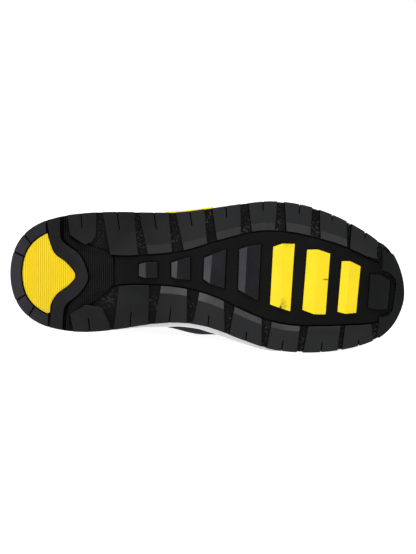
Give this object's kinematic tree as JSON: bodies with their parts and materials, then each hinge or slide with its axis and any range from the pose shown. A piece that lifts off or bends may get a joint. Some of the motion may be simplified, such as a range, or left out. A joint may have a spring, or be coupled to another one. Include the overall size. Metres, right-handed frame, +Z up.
{
  "type": "safety sneaker",
  "caption": "Low laced safety sneaker for the right foot, lying on its medial side: lugged rubber outsole, pale foam midsole and black upper with toe cap, tongue and padded collar.",
  "frame": {"origin": "centre of the bounding box in plan, on the surface that the shoe lies on", "axes": "+X from heel to toe, +Y from the sole towards the collar, +Z up, which is the shoe's lateral side"},
  "size_m": [0.3006, 0.1326, 0.1145],
  "materials": {
    "black_rubber": "matte",
    "yellow_rubber": "satin",
    "white_foam": "matte",
    "black_lining": "matte",
    "black_mesh": "matte",
    "black_film": "satin",
    "black_suede": "matte",
    "black_lace": "matte"
  },
  "bodies": {
    "root": {"outsole": "black_rubber", "heel_pad": "yellow_rubber", "forefoot_bar_1": "yellow_rubber", "forefoot_bar_2": "yellow_rubber", "forefoot_bar_3": "yellow_rubber", "midsole": "white_foam", "arch_clip": "yellow_rubber", "insole": "black_lining", "upper": "black_mesh", "toe_cap": "black_film", "heel_counter": "black_film", "eyestay": "black_suede", "tongue": "black_mesh", "lace_bar": "black_lace", "lace_cross_1": "black_lace", "lace_cross_2": "black_lace", "lace_cross_3": "black_lace", "lace_cross_4": "black_lace", "lace_cross_5": "black_lace"}
  },
  "joints": []
}
